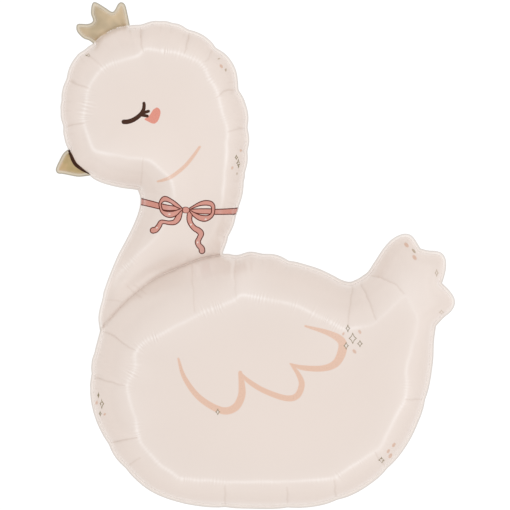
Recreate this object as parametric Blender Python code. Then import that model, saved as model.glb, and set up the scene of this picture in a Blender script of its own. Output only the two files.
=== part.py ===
"""An inflated foil balloon in the shape of a swan, lying on its back.

Two sheets of foil are sealed together along a flat seam that follows the swan's outline. Weld
lines part the gas into chambers: the head and neck, the body with its tail, the crown and the
beak. Seen from above, +Y runs from the body to the crown and +X towards the tail. The body and
the head are pressed flat where they lie on the floor.
"""
import math

import bmesh
import bpy
import numpy as np
from mathutils import Vector
from mathutils.geometry import delaunay_2d_cdt

# Driving dimensions, in metres
HEIGHT = 0.885            # lowest seam to the tip of the crown
SEAM_WIDTH = 0.005        # flat seam outside the gas chambers
SEAM_THICKNESS = 0.0012   # both sheets at a seam or a weld
SCALLOP_DEPTH = 0.0023    # how far a crease pulls the seam in
SCALLOP_LENGTH = 0.012    # how soon the seam comes out again beside a crease
RIDGE_RISE = 0.007        # how far the ridge round a plateau stands up
RIDGE_OUTER = 0.022       # how far that rise spreads towards the seam
RIDGE_INNER = 0.045       # how far it spreads over the plateau
CREASE_DEPTH = 0.006      # depth of a crease half way along
CREASE_WIDTH = 0.009      # how far a crease spreads to each side
FOLD_REACH = 0.027        # how far from a seam the ridges and creases stand in full
BODY_PRESS = 0.006        # how much of the body's back is pressed flat
HEAD_PRESS = 0.004        # how much of the head's back is pressed flat
FACET = 0.0135            # spacing of the surface points
FINE_FACET = 0.006        # spacing along the small outlines of the crown and the beak

# Shares of a free form
FULLNESS = 0.74           # rise of the sheet beside that of a round cross-section
CREASE_START = 0.15       # how far into its half wave a crease starts, and ends before it
LATTICE_GAP = 0.55        # facets left free between a line and the surface points beside it

# The outline, in thousandths of HEIGHT from the lowest seam, as stretches of smooth curve that
# run clockwise and meet in corners. X is measured from the middle of the width.
HEAD_BACK = [(-246, 955), (-213, 962), (-181, 964), (-150, 958), (-121, 946), (-93, 930),
             (-69, 910), (-49, 889), (-36, 865), (-29, 834), (-19, 806), (-11, 775), (-9, 743),
             (-10, 715), (-13, 684), (-18, 652), (-23, 621), (-30, 593), (-40, 561), (-51, 533),
             (-60, 504)]
BODY_TOP = [(-60, 504), (-44, 502), (-28, 502), (-8, 506), (15, 503), (43, 500), (67, 492),
            (97, 482), (128, 472), (154, 460), (172, 451), (187, 448), (202, 453), (221, 465),
            (239, 487), (257, 513), (273, 530), (289, 539), (302, 541), (314, 535), (329, 512)]
TAIL_MIDDLE = [(329, 512), (345, 508), (359, 507), (371, 503), (378, 492), (379, 476),
               (376, 460), (371, 444)]
TAIL_LOWER = [(371, 444), (386, 429), (395, 415), (396, 402), (389, 389), (374, 376),
              (359, 360)]
BODY_LOWER = [(359, 360), (355, 330), (353, 290), (346, 242), (337, 204), (323, 168), (306, 133),
              (282, 98), (250, 64), (198, 29), (140, 8), (73, 0), (-8, 0), (-81, 2), (-145, 12),
              (-201, 33), (-245, 68), (-275, 103), (-296, 140), (-312, 176), (-321, 211),
              (-324, 247), (-320, 290), (-311, 323), (-306, 350)]
NECK_FRONT = [(-306, 350), (-307, 378), (-301, 415), (-289, 456), (-271, 496), (-252, 530),
              (-234, 565), (-224, 592), (-222, 614), (-227, 629)]
CHIN = [(-227, 629), (-237, 633), (-263, 637), (-292, 644), (-313, 652), (-325, 660)]
BEAK = [(-325, 660), (-332, 658), (-340, 656), (-351, 656), (-377, 661), (-387, 662),
        (-391, 667), (-390, 674), (-384, 687), (-377, 700), (-367, 709)]
HEAD_FRONT = [(-367, 709), (-374, 728), (-378, 752), (-381, 781), (-380, 804), (-376, 829),
              (-370, 853), (-361, 876), (-348, 897), (-332, 911), (-318, 919)]
CROWN = [(-318, 919), (-326, 925), (-338, 930), (-349, 942), (-351, 952), (-347, 957),
         (-328, 957), (-318, 964), (-322, 979), (-320, 996), (-314, 1000), (-298, 991),
         (-282, 981), (-275, 985), (-269, 996), (-263, 1000), (-256, 995), (-251, 977),
         (-246, 955)]
STRETCHES = [(HEAD_BACK, FACET), (BODY_TOP, FACET), (TAIL_MIDDLE, FACET), (TAIL_LOWER, FACET),
             (BODY_LOWER, FACET), (NECK_FRONT, FACET), (CHIN, FACET), (BEAK, FINE_FACET),
             (HEAD_FRONT, FACET), (CROWN, FINE_FACET)]

# The weld lines between the chambers, each from seam to seam
NECK_WELD = [(-305, 350), (-281, 379), (-255, 407), (-225, 433), (-192, 455), (-156, 472),
             (-123, 486), (-93, 495), (-57, 501)]
CROWN_WELD = [(-318, 919), (-304, 932), (-285, 944), (-268, 951), (-246, 955)]
BEAK_WELD = [(-367, 709), (-363, 695), (-357, 684), (-349, 675), (-338, 667), (-325, 660)]
WELDS = [NECK_WELD, CROWN_WELD, BEAK_WELD]

# The ridges round the two plateaus. The third number is how sharp the ridge is there.
BODY_RIDGE = [(-233, 312, 1.0), (-215, 328, 1.0), (-117, 379, 1.0), (-37, 409, 1.0),
              (-28, 421, 1.0), (81, 401, 1.0), (175, 360, 1.0), (239, 369, 1.0), (298, 421, 1.0),
              (326, 362, 1.0), (303, 283, 1.0), (300, 229, 1.0), (289, 209, 1.0),
              (239, 111, 1.0), (158, 55, 1.0), (71, 51, 1.0), (-57, 51, 1.0), (-151, 57, 1.0),
              (-191, 85, 1.0), (-233, 134, 1.0), (-231, 164, 1.0), (-253, 239, 1.0),
              (-230, 283, 1.0)]
HEAD_RIDGE = [(-225, 895, 1.0), (-285, 877, 1.0), (-301, 870, 1.0), (-326, 833, 1.0),
              (-336, 761, 1.0), (-318, 711, 1.0), (-225, 693, 1.0), (-202, 688, 1.0),
              (-163, 650, 1.0), (-158, 615, 0.4), (-176, 560, 0.3), (-202, 516, 0.6),
              (-245, 480, 0.6), (-262, 452, 0.2), (-90, 530, 0.0), (-66, 580, 0.3),
              (-59, 625, 0.9), (-54, 702, 1.0), (-51, 743, 1.0), (-71, 820, 1.0),
              (-103, 879, 1.0), (-143, 899, 1.0), (-219, 910, 1.0)]
RIDGES = [BODY_RIDGE, HEAD_RIDGE]

# The creases, each from the flat seam to the ridge
HEAD_CREASES = [((-222, 955), (-221, 909)), ((-131, 945), (-136, 905)),
                ((-80, 913), (-99, 880)), ((-32, 827), (-69, 814)), ((-14, 751), (-51, 743)),
                ((-335, 902), (-303, 874)), ((-367, 843), (-328, 830)),
                ((-373, 752), (-336, 759)),
                ((-222, 630), (-217, 688))]
BODY_CREASES = [((-301, 349), (-233, 312)), ((-318, 260), (-255, 243)),
                ((-284, 128), (-231, 140)), ((-251, 81), (-225, 100)), ((-57, 4), (-57, 45)),
                ((66, 4), (65, 42)), ((163, 20), (158, 55)), ((260, 81), (239, 111)),
                ((335, 215), (298, 215)), ((225, 463), (293, 427)), ((208, 450), (241, 373)),
                ((195, 445), (185, 362)), ((-36, 497), (-35, 411)), ((-123, 486), (-117, 389))]
CREASES = HEAD_CREASES + BODY_CREASES

FOIL_COLOUR = (0.83, 0.72, 0.65, 1.0)
FOIL_METALLIC = 0.1
FOIL_ROUGHNESS = 0.35


def metres(points):
    """The points of a stretch in metres, from thousandths of the height."""
    return np.array([point[:2] for point in points], dtype=float) * HEIGHT / 1000.0


def walk(points, step):
    """Points at an even step along a polyline, both ends included."""
    lengths = np.linalg.norm(np.diff(points, axis=0), axis=1)
    along = np.concatenate([[0.0], np.cumsum(lengths)])
    count = max(2, int(round(along[-1] / step)) + 1)
    marks = np.linspace(0.0, along[-1], count)
    return np.column_stack([np.interp(marks, along, points[:, axis]) for axis in range(2)])


def smooth(points, steps=12):
    """A Catmull-Rom curve through the points of one stretch."""
    ends = [2 * points[0] - points[1], 2 * points[-1] - points[-2]]
    padded = np.vstack([ends[:1], points, ends[1:]])
    share = (np.arange(steps) / steps)[:, None]
    curve = []
    for before, start, end, after in zip(padded, padded[1:], padded[2:], padded[3:]):
        curve.append(0.5 * (2 * start + (end - before) * share
                            + (2 * before - 5 * start + 4 * end - after) * share ** 2
                            + (3 * start - before - 3 * end + after) * share ** 3))
    return np.vstack(curve + [points[-1:]])


def nearest(points, line, closed=False):
    """Distance from each point to a polyline, with the segment hit and the share along it."""
    starts = line if closed else line[:-1]
    ends = np.roll(line, -1, axis=0) if closed else line[1:]
    runs = ends - starts
    squares = np.maximum((runs ** 2).sum(axis=1), 1e-12)
    offsets = points[:, None] - starts
    share = np.clip((offsets * runs).sum(axis=2) / squares, 0.0, 1.0)
    gaps = np.linalg.norm(offsets - share[..., None] * runs, axis=2)
    segment = gaps.argmin(axis=1)
    rows = np.arange(len(points))
    return gaps[rows, segment], segment, share[rows, segment]


def within(points, outline):
    """Whether each point is inside a closed outline."""
    following = np.roll(outline, -1, axis=0)
    spans = (outline[:, 1] > points[:, None, 1]) != (following[:, 1] > points[:, None, 1])
    rise = following[:, 1] - outline[:, 1]
    slope = (following[:, 0] - outline[:, 0]) / np.where(rise == 0.0, 1.0, rise)
    crossing = outline[:, 0] + slope * (points[:, None, 1] - outline[:, 1])
    return (spans & (points[:, None, 0] < crossing)).sum(axis=1) % 2 == 1


def inward_normals(outline):
    """Unit normals into a clockwise outline."""
    along = np.roll(outline, -1, axis=0) - np.roll(outline, 1, axis=0)
    along /= np.linalg.norm(along, axis=1)[:, None]
    return np.column_stack([along[:, 1], -along[:, 0]])


def seam_outline():
    """The seam's outer edge, pulled in a little where a crease runs out to it."""
    stretches = [walk(smooth(metres(stretch)), step) for stretch, step in STRETCHES]
    outline = np.vstack([stretch[:-1] for stretch in stretches])
    creases = metres([crease[0] for crease in CREASES])
    pull = np.zeros(len(outline))
    for start in creases:
        gaps = np.linalg.norm(outline - start, axis=1)
        pull = np.maximum(pull, SCALLOP_DEPTH * np.exp(-(gaps - gaps.min()) / SCALLOP_LENGTH))
    return outline + inward_normals(outline) * pull[:, None]


def chamber_edge(outline):
    """The seam's inner edge: the outline moved in by the width of the seam.

    Points that a sharp corner would carry too near to the outline are left out.
    """
    edge = outline + inward_normals(outline) * SEAM_WIDTH
    narrowest = 0.95 * SEAM_WIDTH
    gaps = nearest(edge, outline, closed=True)[0]
    return edge[gaps > narrowest]


def lattice(outline, lines):
    """A triangular lattice of points inside the outline, clear of the lines."""
    low, high = outline.min(axis=0), outline.max(axis=0)
    row_height = FACET * math.sqrt(3.0) / 2.0
    points = []
    for row in range(int((high[1] - low[1]) / row_height) + 1):
        shift = FACET / 2.0 * (row % 2)
        columns = np.arange(low[0] + shift, high[0], FACET)
        points.append(np.column_stack([columns, np.full(len(columns), low[1] + row * row_height)]))
    points = np.vstack(points)
    points = points[within(points, outline)]
    for line, closed in lines:
        points = points[nearest(points, line, closed)[0] > LATTICE_GAP * FACET]
    return points


def sheet_plan():
    """The flat plan of one sheet: its points, its triangles and the seam's inner edge."""
    outline = seam_outline()
    edge = chamber_edge(outline)
    lines = [(outline, True), (edge, True)]
    lines += [(walk(metres(weld), FACET), False) for weld in WELDS]
    lines += [(walk(np.vstack([metres(ridge), metres(ridge[:1])]), FACET), False)
              for ridge in RIDGES]
    lines += [(walk(metres(crease), FACET), False) for crease in CREASES]
    corners = []
    edges = []
    for line, closed in lines:
        first = len(corners)
        corners.extend(line)
        edges.extend((first + i, first + i + 1) for i in range(len(line) - 1))
        if closed:
            edges.append((first + len(line) - 1, first))
    corners.extend(lattice(edge, lines))
    corners = [Vector(corner) for corner in corners]
    border = list(range(len(outline)))
    merge = 0.0002
    found, _, triangles, _, _, _ = delaunay_2d_cdt(corners, edges, [border], 1, merge)
    points = np.array([corner[:] for corner in found])
    triangles = np.array([face for face in triangles])
    used, triangles = np.unique(triangles, return_inverse=True)
    return points[used], triangles.reshape(-1, 3), edge


def rise(points, triangles, held):
    """Height of an inflated sheet held at its seams, from the pressure on a stretched film."""
    first = np.concatenate([triangles[:, i] for i in range(3)])
    second = np.concatenate([triangles[:, (i + 1) % 3] for i in range(3)])
    apex = np.concatenate([triangles[:, (i + 2) % 3] for i in range(3)])
    one = points[first] - points[apex]
    two = points[second] - points[apex]
    cross = np.abs(one[:, 0] * two[:, 1] - one[:, 1] * two[:, 0])
    weight = 0.5 * (one * two).sum(axis=1) / np.maximum(cross, 1e-12)
    load = np.bincount(apex, cross / 6.0, len(points))
    load[held] = 0.0

    def pull(height):
        flow = weight * (height[first] - height[second])
        total = np.bincount(first, flow, len(points)) - np.bincount(second, flow, len(points))
        total[held] = 0.0
        return total

    height = np.zeros(len(points))
    rest = load.copy()
    push = rest.copy()
    size = rest @ rest
    goal = 1e-16 * size
    while size > goal:
        answer = pull(push)
        step = size / (push @ answer)
        height += step * push
        rest -= step * answer
        new_size = rest @ rest
        push = rest + push * new_size / size
        size = new_size
    return FULLNESS * np.sqrt(2.0 * np.maximum(height, 0.0))


def fade(distance, reach):
    """A smooth step from 0 at the seam to 1 at the reach."""
    share = np.clip(distance / reach, 0.0, 1.0)
    return share * share * (3.0 - 2.0 * share)


def folds(points, gap):
    """The ridges and creases of the sheet, as a height to add; gap is the way to the seam."""
    added = np.zeros(len(points))
    for ridge in RIDGES:
        line = metres(ridge)
        sharpness = np.array([corner[2] for corner in ridge])
        distance, segment, share = nearest(points, line, closed=True)
        strength = (sharpness[segment] * (1.0 - share)
                    + np.roll(sharpness, -1)[segment] * share)
        spread = np.where(within(points, line), RIDGE_INNER, RIDGE_OUTER)
        added += RIDGE_RISE * strength * np.exp(-distance / spread)
    for crease in CREASES:
        distance, _, share = nearest(points, metres(crease))
        along = np.sin(math.pi * (CREASE_START + (1.0 - 2.0 * CREASE_START) * share))
        added -= CREASE_DEPTH * along * np.exp(-distance / CREASE_WIDTH)
    return added * fade(gap, FOLD_REACH)


def seam_plane(points, height):
    """Height of the seam above the floor: it tips so that the body and the head both lie."""
    parting = metres(NECK_WELD)[:, 1].mean()
    body = np.where(points[:, 1] < parting, height, 0.0)
    head = np.where(points[:, 1] < parting, 0.0, height)
    low, high = body.argmax(), head.argmax()
    body_level = body[low] + SEAM_THICKNESS / 2.0 - BODY_PRESS
    head_level = head[high] + SEAM_THICKNESS / 2.0 - HEAD_PRESS
    slope = (head_level - body_level) / (points[high, 1] - points[low, 1])
    return body_level + slope * (points[:, 1] - points[low, 1])


def balloon_mesh():
    """The closed skin: a front sheet, a back sheet and the narrow edge of the seam."""
    points, triangles, edge = sheet_plan()
    on_line = 1e-6
    gap = nearest(points, edge, closed=True)[0]
    held = ~within(points, edge) | (gap < on_line)
    for weld in WELDS:
        distance = nearest(points, walk(metres(weld), FACET))[0]
        held |= distance < on_line
        gap = np.minimum(gap, distance)
    height = rise(points, triangles, held)
    height = np.where(held, 0.0, np.maximum(height + folds(points, gap), 0.0))
    level = seam_plane(points, height)
    half = SEAM_THICKNESS / 2.0
    shape = bmesh.new()
    front = [shape.verts.new((x, y, z)) for (x, y), z in zip(points, level + half + height)]
    back = [shape.verts.new((x, y, z))
            for (x, y), z in zip(points, np.maximum(level - half - height, 0.0))]
    for a, b, c in triangles:
        shape.faces.new((front[a], front[b], front[c]))
        shape.faces.new((back[a], back[c], back[b]))
    rims = [e for e in shape.edges if e.is_boundary]
    bmesh.ops.bridge_loops(shape, edges=rims)
    bmesh.ops.triangulate(shape, faces=[face for face in shape.faces if len(face.verts) > 3])
    bmesh.ops.recalc_face_normals(shape, faces=shape.faces)
    width = points[:, 0].max() + points[:, 0].min()
    length = points[:, 1].max() + points[:, 1].min()
    bmesh.ops.translate(shape, verts=shape.verts, vec=(-width / 2.0, -length / 2.0, 0.0))
    mesh = bpy.data.meshes.new("foil_swan_balloon")
    shape.to_mesh(mesh)
    shape.free()
    return mesh


def foil_material():
    """Satin foil printed in a warm cream."""
    material = bpy.data.materials.new("cream_foil")
    material.use_nodes = True
    shader = material.node_tree.nodes["Principled BSDF"]
    shader.inputs["Base Color"].default_value = FOIL_COLOUR
    shader.inputs["Metallic"].default_value = FOIL_METALLIC
    shader.inputs["Roughness"].default_value = FOIL_ROUGHNESS
    return material


def main():
    for item in list(bpy.data.objects):
        bpy.data.objects.remove(item)
    group = bpy.data.collections.new("foil swan balloon")
    bpy.context.scene.collection.children.link(group)
    mesh = balloon_mesh()
    mesh.materials.append(foil_material())
    mesh.shade_smooth()
    balloon = bpy.data.objects.new("foil_swan_balloon", mesh)
    group.objects.link(balloon)


main()
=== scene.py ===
"""A foil swan balloon, blown up and lying on its back on a pale table.

The balloon is cut as a flat pattern: the outline, the sealed seam, the weld lines between the
chambers, the ridges, the creases and the printed artwork are drawn as lines, and a sheet of small
triangles is laid out along them. Gas pressure then raises the sheet, and folds, puckers and
ripples are pressed into it. Lengths on the pattern are in thousandths of the balloon's height.
"""

import math

import bmesh
import bpy
import numpy as np
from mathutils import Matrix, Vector, kdtree
from mathutils.geometry import delaunay_2d_cdt


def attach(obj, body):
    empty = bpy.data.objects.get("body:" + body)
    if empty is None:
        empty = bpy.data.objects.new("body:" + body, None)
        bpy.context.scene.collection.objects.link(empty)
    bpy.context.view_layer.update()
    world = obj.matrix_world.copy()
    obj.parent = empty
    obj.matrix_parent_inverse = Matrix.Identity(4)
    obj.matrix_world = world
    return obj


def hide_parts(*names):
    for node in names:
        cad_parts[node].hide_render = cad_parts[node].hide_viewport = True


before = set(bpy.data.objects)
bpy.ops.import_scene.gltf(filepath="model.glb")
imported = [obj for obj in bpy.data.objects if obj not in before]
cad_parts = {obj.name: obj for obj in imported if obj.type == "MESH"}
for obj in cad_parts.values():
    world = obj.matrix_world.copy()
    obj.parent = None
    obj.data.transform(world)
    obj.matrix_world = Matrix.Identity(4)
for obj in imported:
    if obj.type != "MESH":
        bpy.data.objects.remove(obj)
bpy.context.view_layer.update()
BALLOON = "foil_swan_balloon"

# Real sizes, in metres
HEIGHT = 0.885              # lowest seam to the tip of the crown
SEAM_WIDTH = 0.005          # flat seam outside the gas chambers
CUT_EDGE = 0.0018           # bare foil along the cut edge of the seam
GOLD_BEYOND = 0.0015        # how far the gold print runs over the cut
SEAM_EASE = 0.0008          # how far the seam stands out between its notches
SEAM_THICKNESS = 0.0006     # both sheets at a seam or a weld
WELD_WIDTHS = [0.0011, 0.0018, 0.0018]  # flat weld lines at the neck, the crown and the beak
WELD_CONTACTS = [0.020, 0.007, 0.009]   # how high the chambers beside each weld press together
CONTACT_WIDTH = 0.014       # how far from the weld that lifts the sheet
CONTACT_EASE = 0.012        # how soon the contact ends where a weld runs out to the seam
WELD_SHADE = 0.9            # painted shade along the front of the neck weld: how much deeper it makes the ink
WELD_SHADE_WIDTH = 0.0030
WELD_SHADE_END = 0.65       # how far along the weld that reaches, as a share of its length
RIDGE_RISE = 0.007          # how far the ridge round a plateau stands up
RIDGE_OUTER = 0.022         # how far that rise spreads towards the seam
RIDGE_INNER = 0.045         # how far it spreads over the plateau
SCALLOP_DEPTH = 0.0023      # how far a crease pulls the seam in
SCALLOP_LENGTH = 0.012      # how soon the seam comes out again beside a crease
FULLNESS = 0.74             # rise of the sheet beside that of a round cross-section

# How finely each sheet is laid out, in metres
SEAM_STEP = 0.0022
SMALL_STEP = 0.0013         # the seam's step round the crown and the beak
FRONT_GRID = {"plateau": 0.0058, "band": 0.0025, "ridge": 0.0019, "small": 0.0015,
              "teeth": True}
# The back film, on the side away from the camera, is coarser
BACK_GRID = {"plateau": 0.0075, "band": 0.0040, "ridge": 0.0034, "small": 0.0022,
             "teeth": False}
RIDGE_ZONE = 0.0085         # how far from a ridge the finest grid reaches
GRID_GAP = 0.55             # how near a line a grid point may lie, as a share of the spacing
RULER_STEP = 0.0006         # how finely a line is sampled to measure distances from it
RULER_GAP = 0.37            # keeps the ways along two lines apart
STROKE_STEP = 0.0012        # spacing of the points along a printed stroke
CAP_STEPS = 6               # steps round the end of a stroke
LEAST_LENGTH = 1e-5         # points nearer than this count as one
FAR_OFF = 9.0               # farther than any two points of the pattern
FOLDED_BACK = 0.94          # share of its offset that a moved point must keep from the outline
RISE_ACCURACY = 1e-12       # how exactly the pressure's balance is solved
TOOTH_STEPS = np.array([-1.0, -0.62, -0.34, -0.14, 0.0, 0.14, 0.34, 0.62, 1.0])

# The outline from the lowest seam, as stretches of smooth curve that run clockwise
HEAD_BACK = [(-246, 955), (-213, 962), (-181, 964), (-150, 958), (-121, 946), (-93, 930),
             (-69, 910), (-49, 889), (-36, 865), (-29, 834), (-19, 806), (-11, 775), (-9, 743),
             (-10, 715), (-13, 684), (-18, 652), (-23, 621), (-30, 593), (-40, 561), (-51, 533),
             (-60, 504)]
BODY_TOP = [(-60, 504), (-44, 502), (-28, 502), (-8, 506), (15, 503), (43, 500), (67, 492),
            (97, 482), (128, 472), (154, 460), (172, 451), (187, 448), (202, 453), (221, 465),
            (239, 487), (257, 513), (273, 530), (289, 539), (302, 541), (314, 535), (329, 512)]
TAIL_MIDDLE = [(329, 512), (345, 508), (359, 507), (371, 503), (378, 492), (379, 476),
               (376, 460), (371, 444)]
TAIL_LOWER = [(371, 444), (386, 429), (395, 415), (396, 402), (389, 389), (374, 376),
              (359, 360)]
BODY_LOWER = [(359, 360), (355, 330), (353, 290), (346, 242), (337, 204), (323, 168), (306, 133),
              (282, 98), (250, 64), (198, 29), (140, 8), (73, 0), (-8, 0), (-81, 2), (-145, 12),
              (-201, 33), (-245, 68), (-275, 103), (-296, 140), (-312, 176), (-321, 211),
              (-324, 247), (-320, 290), (-311, 323), (-306, 350)]
NECK_FRONT = [(-306, 350), (-307, 378), (-301, 415), (-289, 456), (-271, 496), (-252, 530),
              (-235, 565), (-226, 592), (-225, 612), (-231, 627)]
CHIN = [(-231, 627), (-243, 630), (-265, 634), (-293, 641), (-313, 649), (-325, 658)]
BEAK = [(-325, 658), (-332, 657), (-340, 656), (-351, 656), (-377, 661), (-387, 662),
        (-391, 667), (-390, 674), (-384, 687), (-377, 700), (-367, 709)]
HEAD_FRONT = [(-367, 709), (-375, 728), (-380, 752), (-383, 781), (-382, 804), (-379, 829),
              (-373, 853), (-363, 876), (-349, 898), (-332, 911), (-318, 919)]
CROWN = [(-318, 919), (-326, 925), (-338, 930), (-349, 942), (-351, 952), (-347, 957),
         (-328, 957), (-318, 964), (-322, 979), (-320, 996), (-314, 1000), (-298, 991),
         (-282, 981), (-275, 985), (-269, 996), (-263, 1000), (-256, 995), (-251, 977),
         (-246, 955)]
STRETCHES = [HEAD_BACK, BODY_TOP, TAIL_MIDDLE, TAIL_LOWER, BODY_LOWER, NECK_FRONT, CHIN, BEAK,
             HEAD_FRONT, CROWN]
SMALL_STRETCHES = [BEAK, CROWN]

# The weld lines between the chambers, each from seam to seam
NECK_WELD = [(-305, 350), (-281, 379), (-255, 407), (-225, 433), (-192, 455), (-156, 472),
             (-123, 486), (-93, 495), (-57, 501)]
CROWN_WELD = [(-318, 919), (-304, 932), (-285, 944), (-268, 951), (-246, 955)]
BEAK_WELD = [(-367, 709), (-363, 695), (-357, 684), (-349, 675), (-338, 667), (-325, 660)]
WELDS = [NECK_WELD, CROWN_WELD, BEAK_WELD]
# A wide frame that closes the neck weld round the chamber of the neck and the head
HEAD_SIDE = [(30, 560), (30, 1100), (-500, 1100), (-500, 350)]

# The ridges round the two plateaus. The third number is how sharp the ridge is there.
BODY_RIDGE = [(-235, 309, 1.0), (-215, 328, 1.0), (-117, 380, 1.0), (-37, 410, 1.0),
              (-28, 424, 1.0), (81, 401, 1.0), (177, 354, 0.9), (235, 363, 0.5), (300, 421, 0.3),
              (324, 369, 0.4), (301, 283, 0.7), (301, 222, 0.85), (294, 207, 0.85),
              (247, 119, 0.85), (158, 61, 0.85), (71, 55, 0.85), (-57, 53, 0.85),
              (-146, 60, 0.85), (-187, 89, 0.9), (-229, 139, 1.0), (-229, 164, 1.0),
              (-252, 242, 1.0), (-232, 281, 1.0)]
HEAD_RIDGE = [(-225, 894, 1.0), (-285, 876, 1.0), (-299, 870, 1.0), (-327, 829, 1.0),
              (-338, 765, 1.0), (-316, 704, 1.0), (-226, 688, 1.0), (-200, 685, 1.0),
              (-161, 648, 1.0), (-157, 615, 0.4), (-180, 552, 0.3), (-211, 516, 0.6),
              (-248, 482, 0.7), (-268, 464, 0.5), (-279, 436, 0.1), (-90, 530, 0.0),
              (-66, 580, 0.3), (-60, 625, 0.9), (-55, 702, 1.0), (-52, 743, 1.0),
              (-72, 820, 1.0), (-105, 880, 1.0), (-143, 899, 1.0), (-219, 909, 1.0)]
RIDGES = [BODY_RIDGE, HEAD_RIDGE]

# The creases, each from the flat seam to the ridge, and how strong each one is
CREASES = [([(-224, 952), (-225, 930), (-219, 903)], 1.0),
           ([(-131, 945), (-129, 928), (-137, 900)], 0.9),
           ([(-80, 913), (-88, 892), (-99, 880)], 0.5),
           ([(-32, 827), (-54, 824), (-72, 812)], 1.0),
           ([(-14, 751), (-33, 748), (-51, 743)], 0.6),
           ([(-335, 902), (-303, 874)], 0.4),
           ([(-368, 846), (-347, 837), (-328, 830)], 0.9),
           ([(-373, 753), (-354, 758), (-336, 760)], 0.8),
           ([(-225, 632), (-221, 660), (-219, 690)], 0.35),
           ([(-301, 349), (-279, 342), (-259, 326), (-233, 312)], 0.9),
           ([(-318, 260), (-293, 251), (-255, 243)], 0.8),
           ([(-284, 128), (-258, 135), (-231, 140)], 1.0),
           ([(-251, 81), (-237, 92), (-225, 100)], 0.6),
           ([(-57, 4), (-57, 45)], 0.6), ([(66, 4), (65, 42)], 0.6),
           ([(163, 20), (158, 55)], 0.6), ([(260, 81), (239, 111)], 0.6),
           ([(335, 215), (298, 215)], 0.6),
           ([(231, 460), (250, 456), (266, 450), (282, 440), (296, 424)], 0.7),
           ([(211, 441), (221, 424), (230, 405), (240, 373)], 0.8),
           ([(-250, 438), (-222, 416)], 0.3), ([(-236, 440), (-214, 424)], 0.25),
           ([(-290, 411), (-262, 408)], 0.25),
           ([(195, 445), (190, 400), (185, 362)], 0.7),
           ([(-36, 497), (-38, 455), (-35, 411)], 0.3),
           ([(-123, 486), (-121, 440), (-117, 389)], 0.35)]
CREASE_DIP = 0.0020         # the wide hollow along a crease, in metres
CREASE_DIP_WIDTH = 0.010
CREASE_CUT = 0.0020         # the sharp fold at its middle
CREASE_CUT_WIDTH = 0.0024
CREASE_SHADE_WIDTH = 0.0013  # the thin line of painted shade along a crease
CREASE_START = 0.12         # how far into its half wave a crease starts, and ends before it
CREASE_DEEPEST = 0.3        # where along a crease its hollow is deepest
CREASE_STEP = 0.002
CREASE_STRAY = (0.0014, 0.012, 40)  # how a crease wanders: how far, over what length, which draw

# Where ripples cross the ridges: middle, reach and strength
RIPPLES = [(-156, 902, 46, 1.3), (-85, 855, 40, 1.15), (-68, 780, 46, 0.4), (-322, 790, 44, 0.8),
           (-294, 875, 24, 0.8), (-205, 690, 30, 0.5), (-158, 650, 30, 0.4),
           (-258, 474, 40, 0.95), (-74, 398, 46, 0.7), (12, 412, 40, 0.9), (84, 398, 60, 1.0),
           (150, 366, 50, 0.9), (-208, 330, 36, 0.9), (-246, 276, 42, 1.0),
           (-234, 146, 26, 0.9), (-110, 58, 64, 0.8), (20, 52, 50, 0.35), (120, 52, 36, 0.5),
           (176, 72, 56, 0.8), (250, 380, 36, 0.6), (300, 224, 30, 0.5), (-205, 96, 30, 0.5)]
RIPPLE_LENGTH = 0.0056
RIPPLE_HEIGHT = 0.00075
RIPPLE_REACH = 0.0100
RIPPLE_HIGHLIGHT = 1.2          # painted highlight on a ripple's crest: how much paler it makes the ink
RIPPLE_PAINTED_SHADE = 0.5          # painted shade in its trough: how much deeper it makes the ink
RIPPLE_FEET = 4.0           # mesh lines across each ripple
RIPPLE_PROBE = 0.0002       # how finely a ridge is searched for the feet of its ripples
RIPPLE_LEAST = 0.3          # weaker ripples get no mesh lines of their own
PLAIN_STEP = 0.002          # spacing of a ridge's points between its ripples
PLAIN_GAP = 0.0009          # and how far those points keep from a ripple's foot
# How the ripples stray, each with how much, over what length, and which random draw
WAVE_STRAYS = [(0.0031, 0.0100, 9), (0.004, 0.05, 21)]
COMB_MIDDLE = 0.55          # how strong the ripples are on the whole
COMB_STRAYS = [(0.50, 0.009, 7), (0.30, 0.04, 8)]
REACH_MIDDLE = 0.60         # how far they reach, as a share of RIPPLE_REACH
REACH_STRAY = (0.34, 0.005, 13)
RIDGE_HIGHLIGHT_WIDTH = 0.0033   # a painted highlight along a ridge, as a thin pale line
RIDGE_HIGHLIGHT = 0.80           # how bright that painted highlight is
RIDGE_HIGHLIGHT_STRAY = (0.35, 0.03, 17)
COMB_DIMMING = 0.3          # how much the ripples break that line up
RIDGE_PAINTED_GLOW = 0.52           # painted light: how much paler the ink is on both sides of a ridge
RIDGE_PAINTED_GLOW_REACH = 0.042    # how far that painted light reaches over the plateau
GLOW_POWER = 1.26           # how soon it gives way towards the seam
SEAM_PAINTED_SHADE = 0.55       # painted shade: how much deeper the ink is where a band nears the seam
SEAM_FOOT_HIGHLIGHT = 1.2             # a painted highlight, a pale line where the flat seam ends
SEAM_FOOT_HIGHLIGHT_WIDTH = 0.0024
# Painted light in soft pale patches: middle, reach and strength
PAINTED_LIGHT_SPOTS = [(335, 440, 62, 0.55), (-106, 494, 44, 1.05), (-60, 488, 26, 0.5), (-24, 458, 50, 0.5),
              (-292, 674, 40, 0.3)]
# Where the ripples run far out: middle, reach and how much farther
LONG_RIPPLES = [(-262, 284, 34, 2.4), (-322, 790, 36, 0.7), (-120, 905, 30, 0.3),
                (-234, 146, 26, 0.5), (120, 384, 50, 0.7), (-74, 398, 46, 0.3)]
RIDGE_ROUND = 0.0016        # how round the top of a ridge is
RIDGE_STEP = 0.008          # how finely a ridge's own bends are drawn
RIDGE_STRAY = (0.0012, 0.017, 60)   # how a ridge wanders: how far, over what length, which draw
RIDGE_JOIN = 0.03           # how soon that starts and ends where the ridge closes
RIDGE_FOOT = 0.027          # how far from the seam a ridge stands in full

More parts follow.
